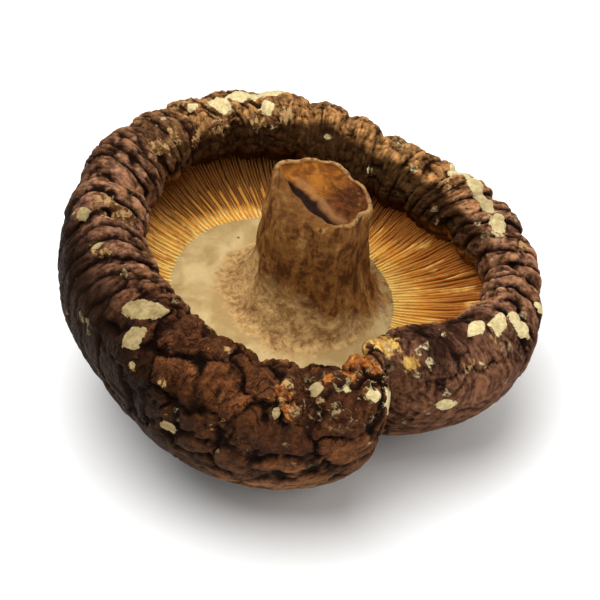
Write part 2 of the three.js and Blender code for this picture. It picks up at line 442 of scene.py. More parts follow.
def cap(material):
    """The cap: skin with its cracks and wrinkles, the margin, and the bed that carries the gills."""
    angle = angles(CAP_COLUMNS)
    low, roll = cap_rows()
    slope = np.concatenate([
        np.repeat(low[:, None], CAP_COLUMNS, axis=1),
        roll[:, None] * margin_slope(angle)[None, :],
    ])
    angle = np.broadcast_to(angle, slope.shape)
    p = skin(angle, slope)
    n = normals(p)
    steps = np.linalg.norm(np.diff(p, axis=0, prepend=p[:1]), axis=-1)
    length = np.cumsum(steps, axis=0)

    # The sides that look different.
    on_roll = smooth(slope, -25, 40)
    outside = smooth(slope, 150, 90)
    front = facing(angle, FRONT_SIDE, 0.62, 0.9) * outside
    lobe = facing(angle, LOBE_SIDE, 0.9, 0.97) * outside
    plump = np.maximum(front, lobe)
    left = facing(angle, LEFT_SIDE, 0.25, 0.75)
    right = facing(angle, RIGHT_SIDE, 0.3, 0.85)
    sides = np.maximum(left, right)
    rear = facing(angle, REAR_SIDE, 0.3, 0.8)
    top = facing(angle, 98, 0.6, 0.95)

    # Pleats that run over the roll, and rings and bricks that run along it.
    drift = noise(p / 7, 5)
    strength = smooth(noise(p / 3.2, 10), -1.1, 0.3)
    pleats = valley(PLEATS * angle + 2.3 * drift + 0.4 * noise(p / 1.8, 6), 3)
    pleats *= (0.4 + 0.6 * sides) * (0.45 + 0.55 * strength) * (1 - 0.6 * top)
    pleats *= smooth(slope, -35, 25) * (1 - 0.85 * plump)
    fine = valley(FINE_PLEATS * angle + 4.5 * noise(p / 5, 7), 2)
    fine *= on_roll * (1 - 0.7 * plump) * smooth(noise(p / 2.5, 11), -0.7, 0.3)
    rings = valley(np.pi * length / RING_SPACING + 2.4 * noise(p / 6, 8) + 0.3 * noise(p / 1.5, 16), 4)
    rings *= smooth(slope, 12, -20) * smooth(noise(p / 6, 9), -0.8, 0.1)
    bricks = valley(np.pi * length / BRICK_SPACING + 2.4 * noise(p / 2.6, 17), 5)
    bricks *= on_roll * np.clip(rear + 0.1 * left, 0, 1) * smooth(noise(p / 2, 18), -0.6, 0.3)

    # Cracks between plates, between the smaller parts of a plate, and between scales.
    soft = p + 0.9 * np.stack([noise(p / 2.6, k) + 0.3 * noise(p / 0.9, k) for k in (1, 2, 3)], axis=-1)
    plate_edge, plate_tone = cells(soft / np.array(PLATE_SIZE), 1)
    deep = smooth(noise(p / 4, 19), -0.55, 0.25)
    crown_side = smooth(slope, -15, -55)
    plates = (1 - smooth(plate_edge, 0.0, 0.05)) * (0.3 + 0.7 * deep)
    plates *= np.clip(0.25 + front + 0.35 * lobe + 0.6 * crown_side, 0, 1)
    part_edge, _ = cells(soft / np.array(PART_SIZE), 4)
    parts = (1 - smooth(part_edge, 0.0, 0.1)) * smooth(noise(p / 3, 20), -0.2, 0.4) * smooth(slope, 40, 90)
    scale_edge, scale_tone = cells(soft / SCALE_SIZE, 2)
    scales = (1 - smooth(scale_edge, 0.0, 0.2)) * smooth(noise(p / 3.4, 13), -0.4, 0.5)

    # Narrow lines, most of them along the pleats.
    across = np.stack([22 * np.cos(angle), 22 * np.sin(angle), 0.2 * length], axis=-1)
    across = across + 0.5 * np.stack([noise(p / 2, k) for k in (31, 32, 33)], axis=-1)
    folds = creased(across / 1.5, 34) * on_roll * (0.35 + 0.65 * sides) * (1 - 0.6 * plump)
    hatch = creased(across / 0.85, 35, 2) * on_roll * (1 - 0.5 * plump)
    net = creased(soft / 1.7, 36)
    grain = layered(p / 0.9, 3, 12)

    height = -PLEAT_DEPTH * pleats - FINE_PLEAT_DEPTH * fine - RING_DEPTH * rings
    height -= (BRICK_DEPTH + 0.1 * rear) * bricks + PLATE_DEPTH * plates + PART_DEPTH * parts
    height -= SCALE_DEPTH * (1 + rear) * scales + FOLD_DEPTH * folds + HATCH_DEPTH * hatch + NET_DEPTH * net
    height += 0.04 * grain + 0.12 * smooth(plate_edge, 0, 0.3) * front + 0.05 * (scale_tone - 0.5)
    height += 0.08 * noise(p / 2.2, 14) + 0.02 * noise(p / 1.2, 29)
    flake = flakes(p)
    calm = smooth(flake, -0.1, 0.3)
    height = height * (1 - 0.6 * calm) + 0.05 * calm
    near_cleft = np.exp(-np.abs(past_cleft(angle)) / math.radians(8)) * smooth(slope, 70, 130)
    bulge = dotted(p, BULGES)
    height += 0.3 * near_cleft * noise(p / 1.3, 15) + bulge * (1 + 0.5 * noise(p / 0.9, 28))
    height *= smooth(slope, -92, -70) * (1 - 0.35 * lobe)
    relief = height - blurred(height, 5, 7)

    # Where the colours change: in the cracks, low on the left with a painted shadow, inside the roll at
    # the rear with painted shade, and by the cleft.
    crack = np.maximum.reduce([
        plates * (0.4 + 0.6 * front),
        0.8 * parts,
        0.8 * pleats**1.5,
        0.45 * rings,
        0.45 * rear * on_roll * np.maximum(scales, bricks),
    ])
    # Painted shadow low on the outer wall at the left.
    painted_shadow_left = facing(angle, 200, 0.4, 0.85) * smooth(slope, 65, 15)
    # Painted shade on the inner face of the roll at the rear, from a slope that wanders.
    begin = 122 - 16 * facing(angle, 50, 0.3, 0.9) + 8 * noise(p / 2.5, 37)
    painted_shading_in_roll = facing(angle, 75, 0.0, 0.6) * smooth(slope, begin, begin + 20)
    spots = facing(angle, 281, 0.92, 0.99) * smooth(slope, 15, 50) * smooth(slope, 125, 90)

    p = p + n * height[..., None]
    inner = inner_rows(angle[0], p[-1])

    def padded(field, value=None):
        """A field of the skin with its last row, or a value, in the inner rows and at the last pole."""
        last = field[-1:] if value is None else np.full_like(field[-1:], value)
        full = np.concatenate([field, np.repeat(last, INNER_ROWS, axis=0)])
        return np.append(full.reshape(-1), [field[0].mean(), last.mean()])

    def by_row(*values):
        """A field with one value for each row, 0 at the first pole and 1 at the last."""
        return np.append(np.repeat(np.concatenate(values), CAP_COLUMNS), [0, 1])

    fields = {
        "inside": by_row(np.zeros(len(low)), smooth(roll, 0.9, 1.0), np.ones(INNER_ROWS)),
        "bed": by_row(np.zeros(len(p)), np.linspace(0, 1, INNER_ROWS)),
        "relief": padded(relief / 0.3, 0.0),
        "flake": padded(flake, -1.0),
        "crack": padded(crack, 0.0),
        "rear": padded(rear * on_roll),
        "lobe": padded(lobe),
        "front": padded(front * smooth(slope, -45, 10)),
        "sides": padded(sides * on_roll),
        "painted_shadow_left": padded(painted_shadow_left),
        "painted_shading_in_roll": padded(painted_shading_in_roll),
        "right": padded(facing(angle, 330, 0.5, 0.8)),
        "spots": padded(spots),
        "wall": padded(smooth(slope, 0, -35)),
        "tone": padded(plate_tone * front),
        "orange": padded(dotted(p, ORANGES), 0.0),
        "ochre": padded(dotted(p, OCHRES), 0.0),
        "amber": padded(dotted(p, AMBERS), 0.0),
        "dark_spots_and_shading": padded(dotted(p, DARK_SPOTS_AND_SHADING), 0.0),
    }
    poles = np.array([[CROWN_SHIFT[0], CROWN_SHIFT[1], -CROWN_DEPTH], [0, 0, BED_AT_DISC - 0.3]])
    points = placed(np.concatenate([p.reshape(-1, 3), inner.reshape(-1, 3), poles]))
    across = np.concatenate([across, np.repeat(across[-1:], INNER_ROWS, axis=0)]).reshape(-1, 3)
    across = np.concatenate([across, across[:1], across[-1:]])
    faces = grid_faces(len(p) + INNER_ROWS, CAP_COLUMNS)
    return mesh_object("cap", points, faces, fields, material, {"across": across})


def inner_rows(angle, edge):
    """From the margin's edge under the roll to the bed, and in below the disc."""
    unit = np.stack([np.cos(angle), np.sin(angle), 0 * angle], axis=-1)
    up = np.array([0, 0, 1.0])
    margin = np.linalg.norm(edge[:, :2], axis=-1)
    disc = around(DISC_RADIUS, angle)
    foot = margin + BED_UNDERCUT + 0.6
    stations = []
    for share in np.linspace(0.1, 1, INNER_ROWS - 4):
        out = margin + (foot - margin) * share**0.7
        rise = edge[:, 2] + (BED_AT_WALL - edge[:, 2]) * share
        stations.append(unit * out[:, None] + up * rise[:, None])
    for share in (0.35, 0.7, 1.0):
        out = foot + (0.96 * disc - foot) * share
        rise = BED_AT_WALL + (BED_AT_DISC - BED_AT_WALL) * share
        stations.append(unit * out[:, None] + up * rise)
    stations.append(unit * (0.4 * disc)[:, None] + up * BED_AT_DISC)
    return np.array(stations)


# The disc and the stem, from the disc's edge in and up. A row on the disc has its share of the way
# from the stem's foot to the disc's edge, and a row on the stem has its radius; then come the row's
# height, 1 for a row on the disc, and how far the row is a part of the stem.
FOOT_RADIUS = 7.4
STEM_ROWS = [
    (1.04, -5.9, 1, 0),
    (1.06, -5.2, 1, 0),
    (1.00, -4.7, 1, 0),
    (0.88, -4.36, 1, 0),
    (0.60, -4.18, 1, 0),
    (0.28, -4.08, 1, 0.1),
    (0.00, -3.85, 1, 0.35),
    (6.75, -3.2, 0, 0.8),
    (6.2, -2.2, 0, 1),
    (5.7, -1.0, 0, 1),
    (5.3, 1.5, 0, 1),
    (5.1, 5.0, 0, 1),
    (5.0, 8.0, 0, 1),
    (4.98, 9.5, 0, 1),
    (4.88, 10.2, 0, 1),
    (4.65, 10.42, 0, 1),
    (4.42, 10.3, 0, 1),
    (4.1, 10.05, 0, 1),
    (2.2, 9.95, 0, 1),
    (0.25, 9.95, 0, 1),
]

# How many finer rows there are from each of those rows to the next.
ROWS_BETWEEN = [4, 3, 3, 6, 6, 9, 7, 8, 8, 14, 20, 20, 14, 8, 6, 6, 6, 14, 14]


def stem(material):
    """The pale disc and the stem that rises from it, fibrous, and cut off aslant.

    A share counts rows of STEM_ROWS, so 13 to 16 is the rim of the cut and 16 on is its face.
    """
    angle = angles(STEM_COLUMNS)
    knots = np.array(STEM_ROWS, float)
    disc = around(DISC_RADIUS, angle)
    outs = np.where(knots[:, 2:3] > 0.5, FOOT_RADIUS + knots[:, :1] * (disc - FOOT_RADIUS), knots[:, :1])
    at = np.concatenate([[0], np.cumsum(ROWS_BETWEEN)])
    row = np.arange(at[-1] + 1)
    share = np.interp(row, at, np.arange(len(knots)))
    out = np.array([along_rows(outs, s) for s in share])
    up = np.array([along_rows(knots[:, 1:2], s)[0] for s in share])[:, None] * np.ones_like(out)
    stemness = np.interp(share, np.arange(len(knots)), knots[:, 3])[:, None] * np.ones_like(out)
    angle = np.broadcast_to(angle, out.shape)
    top = smooth(share, 13.2, 14.2)[:, None]
    flutes = STEM_FLUTES * (np.sin(5 * angle + 1) + 0.6 * np.sin(9 * angle + up / 3)) * stemness
    out = out + flutes * np.minimum(1, out / 4)
    bend = np.interp(up, [-1.6, 1.5, 5.0], [0.0, -0.2, -0.35])
    aslant = STEM_CUT_SLOPE[0] * np.cos(angle) + STEM_CUT_SLOPE[1] * np.sin(angle)
    x, y = out * np.cos(angle), out * np.sin(angle)
    z = up - aslant * out * smooth(up, 1.5, 9.6)

    # The step across the cut end: how far towards it, and how far along it, each point lies.
    on_top = smooth(share, 14.0, 15.0)[:, None]
    heading = math.radians(STEM_STEP_ANGLE)
    off = x * math.cos(heading) + y * math.sin(heading)
    z = z - STEM_STEP_FALL * np.maximum(off - STEM_STEP_OFF, 0) ** 2 * smooth(up, 6.5, 9.6)
    off = off + 0.3 * noise(np.stack([x / 1.6, y / 1.6, 0 * x], axis=-1), 30)
    along = -x * math.sin(heading) + y * math.cos(heading) - 0.85
    taper = np.sqrt(np.maximum(1 - (along / 3.9) ** 2, 0))
    trough = on_top * np.exp(-(((off - 1.8) / (0.16 + 0.3 * taper)) ** 2)) * smooth(taper, 0.0, 0.8)
    core = on_top * np.exp(-(((off - 0.9) / 0.55) ** 2)) * smooth(taper, 0.0, 0.8)
    lip = smooth(off, 1.8, 2.2) * on_top
    p = np.stack([x + (STEM_BASE[0] + bend) * stemness, y + STEM_BASE[1] * stemness, z], axis=-1)
    n = normals(p)

    side = stemness * (1 - top)
    face = smooth(share, 15.6, 16.4)[:, None] * (1 - lip)
    fibres = layered(p / np.array([0.55, 0.55, 3.2]), 3, 21)
    height = side * (0.05 * fibres + 0.18 * noise(p / 2.2, 22)) + 0.04 * layered(p / 0.7, 3, 23)
    height += 0.08 * np.cos(GILL_COUNT / 2 * angle) * smooth(out / disc, 0.8, 1.0) * (1 - stemness)
    at_rim = smooth(share, 13.9, 14.5) * (1 - smooth(share, 15.5, 16.2))
    torn = at_rim[:, None] * (1 - smooth(off, 1.9, 2.6))
    height += torn * (0.12 * noise(p / 0.8, 25) + 0.1 * noise(p / 1.7, 24))
    rays = noise(np.stack([3.2 * np.cos(angle), 3.2 * np.sin(angle), out / 4], axis=-1), 26)
    height += face * (0.16 * layered(p / 1.3, 3, 26) + 0.16 * rays) + 0.1 * core - 0.95 * trough
    p = p + n * height[..., None]
    reach = 1.3 + 1.6 * facing(angle, 240, -0.3, 0.8)
    fields = {
        "face": face,
        "torn": torn,
        "dark": trough,
        "core": core,
        "lip": lip,
        "foot": up - 3.0 * np.cos(angle - math.radians(208)),
        "redden": smooth(0.85 * x - 0.5 * y, -1.5, 2.0),
        "stain": 1 - smooth(out, 6.4 + 0.3 * reach, 7.0 + 1.3 * reach),
    }
    fields = {k: np.append(v.reshape(-1), [v[0].mean(), v[-1].mean()]) for k, v in fields.items()}
    poles = np.array([[0, 0, -6.3], p[-1].mean(0)])
    points = placed(np.concatenate([p.reshape(-1, 3), poles]))
    return mesh_object("disc_and_stem", points, grid_faces(len(p), STEM_COLUMNS), fields, material)


def along_rows(values, share):
    """The values at a share of the way along a list of rows, on an open curve."""
    i = min(int(share), len(values) - 2)
    f = share - i
    return curve(*(values[min(max(i + k, 0), len(values) - 1)] for k in (-1, 0, 1, 2)), f)


def gills(material):
    """Thin plates from the disc out under the roll, with shorter ones between them.

    The strip vector gives each gill its own stretch of noise, for patches that run along a few gills.
    """
    points, faces = [], []
    fields = {"along": [], "rise": [], "tone_and_painted_light": [], "dusk": []}
    strips = []
    draw = np.random.default_rng(5)
    for index in range(GILL_COUNT):
        kind = index % 4
        start = GILL_STARTS[kind] + draw.uniform(-0.04, 0.04) * (kind == 1)
        angle = (index + draw.uniform(-0.2, 0.2)) / GILL_COUNT * 2 * np.pi
        tone_and_painted_light = draw.uniform(0, 1)
        before = len(points)
        gill_plate(angle, start, tone_and_painted_light, draw, points, faces, fields)
        strips += [(0.25 * index, 2.2 * fields["along"][k], 0.0) for k in range(before, len(points))]
    return mesh_object("gills", placed(np.array(points)), faces, fields, material, {"strip": strips})


def gill_plate(angle, start, tone_and_painted_light, draw, points, faces, fields):
    """Adds one gill that sways a little and thins to its edge. Gills on the left are paler and those on
    the right browner, a painted light on the left side.
    """
    margin = skin(np.array(angle), np.array(float(margin_slope(angle))))
    disc = float(around(DISC_RADIUS, np.array(angle)))
    inner = disc - GILL_IN_DISC
    outer = math.hypot(margin[0], margin[1]) + BED_UNDERCUT + GILL_TUCK
    inner = inner + start * (outer - inner)
    waves = draw.uniform(0, 2 * np.pi, 3)
    half = draw.uniform(*GILL_HALF)
    top_outer = min(GILL_AT_WALL, margin[2] - 0.2)
    # Painted shade under the roll at the rear, growing towards the wall.
    rear = float(facing(angle, 104, 0.4, 0.95))
    # Painted light: paler gills on the left, browner ones on the right.
    tone_and_painted_light += 0.65 * math.cos(angle)
    base = len(points)
    for i in range(GILL_STEPS + 1):
        t = i / GILL_STEPS
        out = inner + (outer - inner) * t
        whole = start + (1 - start) * t
        crest = DISC_HEIGHT - 0.1 + 0.75 * whole + (top_outer - DISC_HEIGHT - 0.65) * whole**2.2
        crest += 0.03 * math.sin(9 * t + waves[0]) + draw.normal(0, 0.012)
        crest -= 0.9 * start * (1 - t) ** 3
        bed = BED_AT_DISC + (BED_AT_WALL - BED_AT_DISC) * whole - GILL_IN_BED
        sway = 0.07 * math.sin(3 * whole + 9 * angle) + 0.02 * math.sin(9 * t + waves[1])
        for j in range(GILL_LEVELS + 1):
            h = j / GILL_LEVELS
            rise = bed + (crest - bed) * h
            thick = half * (1.25 - 0.6 * h)
            for side in (-1, 1):
                off = side * thick + sway * h
                points.append((
                    out * math.cos(angle) - off * math.sin(angle),
                    out * math.sin(angle) + off * math.cos(angle),
                    rise,
                ))
                fields["along"].append(whole)
                fields["rise"].append(h)
                fields["tone_and_painted_light"].append(tone_and_painted_light)
                fields["dusk"].append(rear * float(smooth(whole, 0.02, 0.46)))
    row = 2 * (GILL_LEVELS + 1)

    def at(i, j, side):
        return base + i * row + 2 * j + side

    for i in range(GILL_STEPS):
        for j in range(GILL_LEVELS):
            faces.append((at(i, j, 0), at(i + 1, j, 0), at(i + 1, j + 1, 0), at(i, j + 1, 0)))
            faces.append((at(i, j, 1), at(i, j + 1, 1), at(i + 1, j + 1, 1), at(i + 1, j, 1)))
        tip = GILL_LEVELS
        faces.append((at(i, tip, 0), at(i + 1, tip, 0), at(i + 1, tip, 1), at(i, tip, 1)))
        faces.append((at(i, 0, 1), at(i + 1, 0, 1), at(i + 1, 0, 0), at(i, 0, 0)))
    for j in range(GILL_LEVELS):
        faces.append((at(0, j, 0), at(0, j + 1, 0), at(0, j + 1, 1), at(0, j, 1)))
        end = GILL_STEPS
        faces.append((at(end, j, 1), at(end, j + 1, 1), at(end, j + 1, 0), at(end, j, 0)))


class Shader:
    """A material's node tree, with short calls for the few kinds of node used here."""

    def __init__(self, name):
        self.material = bpy.data.materials.new(name)
        self.material.use_nodes = True
        self.tree = self.material.node_tree
        self.tree.nodes.clear()
        self.bsdf = self.tree.nodes.new("ShaderNodeBsdfPrincipled")
        output = self.tree.nodes.new("ShaderNodeOutputMaterial")
        self.tree.links.new(self.bsdf.outputs[0], output.inputs[0])

        # Places on the mushroom in millimetres, which most textures are read at.
        place = self.tree.nodes.new("ShaderNodeTexCoord")
        scale = self.tree.nodes.new("ShaderNodeVectorMath")
        scale.operation = "SCALE"
        scale.inputs["Scale"].default_value = 1000
        self.tree.links.new(place.outputs["Object"], scale.inputs[0])
        self.mm = scale.outputs[0]

    def put(self, socket, value):
        """Links an output to a socket, or sets the socket to a number or a colour."""
        if isinstance(value, bpy.types.NodeSocket):
            self.tree.links.new(value, socket)
        elif isinstance(value, (tuple, list)) and len(socket.default_value) == 4:
            socket.default_value = (*value, 1)
        else:
            socket.default_value = value

    def field(self, name):
        """A field that the mesh carries."""
        node = self.tree.nodes.new("ShaderNodeAttribute")
        node.attribute_name = name
        return node.outputs["Fac"]

    def math(self, operation, a, b=0.0, c=0.0):
        node = self.tree.nodes.new("ShaderNodeMath")
        node.operation = operation
        for socket, value in zip(node.inputs, (a, b, c)):
            self.put(socket, value)
        return node.outputs[0]

    def total(self, *terms):
        """The sum of value times weight over the terms."""
        result = 0.0
        for value, weight in terms:
            result = self.math("MULTIPLY_ADD", value, weight, result)
        return result

    def ramp(self, value, low, high, to_low=0.0, to_high=1.0):
        """A value from low to high turned smoothly into one from to_low to to_high."""
        node = self.tree.nodes.new("ShaderNodeMapRange")
        node.interpolation_type = "SMOOTHSTEP"
        for socket, v in zip(node.inputs[:5], (value, low, high, to_low, to_high)):
            self.put(socket, v)
        return node.outputs[0]

    def mix(self, share, a, b):
        node = self.tree.nodes.new("ShaderNodeMix")
        node.data_type = "RGBA"
        self.put(node.inputs[0], share)
        self.put(node.inputs[6], a)
        self.put(node.inputs[7], b)
        return node.outputs[2]

    def vector(self, name):
        """A vector that the mesh carries."""
        node = self.tree.nodes.new("ShaderNodeAttribute")
        node.attribute_name = name
        return node.outputs["Vector"]

    def noise(self, size, detail=3, stretch=(1, 1, 1), distortion=0.0, rough=0.55, on=None):
        """Noise with features about size millimetres across, 0.5 on average, or on another vector."""
        node = self.tree.nodes.new("ShaderNodeTexNoise")
        node.inputs["Scale"].default_value = 1 / size
        node.inputs["Detail"].default_value = detail
        node.inputs["Roughness"].default_value = rough
        node.inputs["Distortion"].default_value = distortion
        if stretch == (1, 1, 1):
            self.tree.links.new(on or self.mm, node.inputs["Vector"])
        else:
            by = self.tree.nodes.new("ShaderNodeVectorMath")
            by.operation = "MULTIPLY"
            self.tree.links.new(self.mm, by.inputs[0])
            by.inputs[1].default_value = tuple(1 / s for s in stretch)
            self.tree.links.new(by.outputs[0], node.inputs["Vector"])
        return node.outputs["Fac"]

    def dots(self, size):
        """The distance to the nearest of points that lie about size millimetres apart, as a share of it."""
        node = self.tree.nodes.new("ShaderNodeTexVoronoi")
        node.inputs["Scale"].default_value = 1 / size
        self.tree.links.new(self.mm, node.inputs["Vector"])
        return node.outputs["Distance"]

    def chunks(self, size):
        """A number from 0 to 1 for each cell about size millimetres across, with crisp borders."""
        node = self.tree.nodes.new("ShaderNodeTexVoronoi")
        node.inputs["Scale"].default_value = 1 / size
        self.tree.links.new(self.mm, node.inputs["Vector"])
        parts = self.tree.nodes.new("ShaderNodeSeparateColor")
        self.tree.links.new(node.outputs["Color"], parts.inputs[0])
        return parts.outputs[0]

    def bump(self, height, depth_mm):
        node = self.tree.nodes.new("ShaderNodeBump")
        node.inputs["Distance"].default_value = depth_mm / 1000
        node.inputs["Strength"].default_value = 1
        self.tree.links.new(height, node.inputs["Height"])
        self.tree.links.new(node.outputs[0], self.bsdf.inputs["Normal"])


def skin_material():
    s = Shader("shiitake_skin")
    front = s.field("front")
    wall = s.field("wall")
    right = s.field("right")

    # The patterns: blotches, flecks and grain, lines along the pleats or round the wall, and
    # hairline cracks at the front.
    blotch = s.noise(5, 3)
    fine = s.noise(0.4, 5, rough=0.65)
    fleck = s.noise(0.9, 4, distortion=0.6)
    over = s.noise(0.5, 4, on=s.vector("across"), rough=0.6)
    around_wall = s.noise(0.5, 4, stretch=(4, 4, 1), rough=0.6)
    lines = s.total((over, s.math("SUBTRACT", 1.0, wall)), (around_wall, wall))
    flecked = s.math("MULTIPLY", front, 0.65)
    lines = s.total((lines, s.math("SUBTRACT", 1.0, flecked)), (fleck, flecked))
    thread = s.math("ABSOLUTE", s.total((s.noise(2.0, 2, distortion=0.6), 1.0), (1.0, -0.5)))
    threaded = s.math("MULTIPLY", front, s.ramp(blotch, 0.4, 0.55))
    thread = s.math("MULTIPLY", s.ramp(thread, 0.0, 0.035, 1.0, 0.0), threaded)
    level = s.total((s.field("relief"), 0.42), (fine, 0.9), (lines, 1.2), (blotch, 0.7), (1.0, -1.4))

    # Brown skin, nearly black in the valleys and light on the ridges.
    brown = s.mix(s.ramp(blotch, 0.35, 0.65), (0.070, 0.025, 0.008), (0.050, 0.018, 0.008))
    ridge = s.mix(s.ramp(fleck, 0.4, 0.65), (0.29, 0.13, 0.046), (0.36, 0.15, 0.042))
    colour = s.mix(s.ramp(level, -0.4, 0.0), (0.010, 0.004, 0.002), brown)
    colour = s.mix(s.ramp(level, 0.02, 0.5), colour, ridge)

    def over_with(share, low, high, least, most):
        """The colour so far with another laid over it: low in the valleys and high on the ridges."""
        tint = s.mix(s.ramp(level, -0.35, 0.45), low, high)
        return s.mix(s.math("MULTIPLY", share, s.ramp(fleck, 0.38, 0.6, least, most)), colour, tint)

    # The tint of each side, where the light pinkish ridges of the left and right rolls are partly a
    # painted sheen; then darker plates, dark skin, painted shade and shadow, and the cracks.
    colour = over_with(s.field("sides"), (0.013, 0.005, 0.003), (0.54, 0.265, 0.155), 0.1, 0.75)
    colour = over_with(s.field("rear"), (0.035, 0.012, 0.004), (0.72, 0.35, 0.115), 0.45, 0.95)
    colour = over_with(wall, (0.060, 0.028, 0.014), (0.42, 0.22, 0.105), 0.5, 0.9)
    right_wall = s.math("MULTIPLY", wall, right)
    colour = over_with(right_wall, (0.03, 0.012, 0.005), (0.27, 0.130, 0.046), 0.5, 0.9)
    colour = over_with(s.field("lobe"), (0.011, 0.004, 0.003), (0.270, 0.115, 0.060), 0.5, 0.9)
    colour = over_with(front, (0.012, 0.0042, 0.0022), (0.212, 0.070, 0.023), 0.45, 0.95)
    # Darker plates, and dark skin with painted shade at the rear left.
    dark_plates_and_shading = s.math("MAXIMUM", s.ramp(s.field("tone"), 0.3, 0.75, 0.0, 0.7), s.field("dark_spots_and_shading"))
    colour = s.mix(s.math("MULTIPLY", dark_plates_and_shading, 0.85), colour, (0.017, 0.006, 0.004))
    # Painted shadow low on the left, and painted shade inside the roll at the rear.
    colour = s.mix(s.math("MULTIPLY", s.field("painted_shadow_left"), 0.9), colour, (0.011, 0.0045, 0.0015))
    colour = s.mix(s.math("MULTIPLY", s.field("painted_shading_in_roll"), 0.92), colour, (0.026, 0.010, 0.003))
    cracked = s.math("MAXIMUM", s.field("crack"), s.math("MULTIPLY", thread, 0.55))
    colour = s.mix(s.math("MULTIPLY", cracked, 0.88), colour, (0.004, 0.002, 0.001))

    def bitty(name, size, low):
        """A field of soft spots, broken up by grain and by the wrinkles."""
        grain = s.noise(size, 3, distortion=0.7)
        share = s.total((s.field(name), 1.0), (grain, 1.0), (lines, 1.0), (level, 0.4), (1.0, -1.0))
        return s.ramp(share, low, low + 0.3)

    # Flesh laid bare, and ochre scales.
    orange = s.mix(s.ramp(fleck, 0.35, 0.65), (0.11, 0.026, 0.005), (0.52, 0.165, 0.030))
    colour = s.mix(s.math("MULTIPLY", bitty("orange", 0.7, 0.45), 0.75), colour, orange)
    ochre = s.total((fine, 0.6), (s.chunks(0.6), 0.25))
    ochre = s.mix(s.ramp(ochre, 0.34, 0.52), (0.10, 0.040, 0.014), (0.48, 0.29, 0.115))
    colour = s.mix(s.math("MULTIPLY", bitty("ochre", 0.55, 0.6), 0.9), colour, ochre)
    amber = s.mix(s.ramp(fleck, 0.35, 0.65), (0.32, 0.145, 0.030), (0.80, 0.50, 0.135))
    colour = s.mix(bitty("amber", 0.9, 0.42), colour, amber)

    # Pale patches, single specks, and the bits of the same that cover the skin by the cleft.
    flaked = s.total((s.field("flake"), 1.0), (s.chunks(0.8), 0.3), (fine, 0.25), (1.0, -0.27))
    patch = s.ramp(flaked, 0.08, 0.14)
    speck = s.math("MULTIPLY", s.ramp(s.chunks(0.7), 0.95, 0.96), s.ramp(s.noise(4, 3), 0.5, 0.56))
    speck = s.math("MULTIPLY", speck, s.ramp(fine, 0.4, 0.55, 0.1, 0.7))
    patch = s.math("MAXIMUM", patch, speck)
    spots = s.math("MULTIPLY", s.field("spots"), s.ramp(s.noise(0.8, 3, distortion=0.8), 0.56, 0.64))
    patch = s.math("MAXIMUM", patch, s.math("MULTIPLY", spots, 0.6))
    mottle = s.total((fine, 0.5), (fleck, 0.5))
    cream = s.mix(s.ramp(mottle, 0.35, 0.65), (0.22, 0.155, 0.065), (0.38, 0.29, 0.138))
    pale = s.math("MAXIMUM", right, s.field("rear"))
    bright = s.mix(s.ramp(fine, 0.35, 0.65), (0.46, 0.36, 0.17), (0.66, 0.55, 0.30))
    colour = s.mix(patch, colour, s.mix(pale, cream, bright))

    # The inner face under the roll, darker at the rear with painted shade, and the bed below the gills.
    under = s.mix(s.ramp(fleck, 0.35, 0.65), (0.075, 0.022, 0.004), (0.24, 0.090, 0.016))
    # Painted shade under the roll at the rear.
    under = s.mix(s.math("MULTIPLY", s.field("rear"), 0.85), under, (0.030, 0.010, 0.003))
    under = s.mix(s.ramp(s.field("bed"), 0.5, 0.9), under, (0.66, 0.28, 0.045))
    colour = s.mix(s.field("inside"), colour, under)
    s.put(s.bsdf.inputs["Base Color"], colour)

    rough = s.total((s.ramp(fine, 0.3, 0.7, 0.42, 0.72), 1.0), (patch, 0.15), (front, -0.12))
    s.put(s.bsdf.inputs["Roughness"], rough)
    s.bsdf.inputs["IOR"].default_value = 1.35
    s.bsdf.inputs["Specular IOR Level"].default_value = 0.04
    height = s.total((fine, 1.0), (s.noise(0.18, 3), 0.5), (lines, 1.3), (thread, -0.8))
    height = s.math("MULTIPLY", height, s.math("SUBTRACT", 1.0, s.math("MULTIPLY", patch, 0.75)))
    s.bump(s.total((height, 1.0), (patch, 1.6)), 0.28)
    return s.material


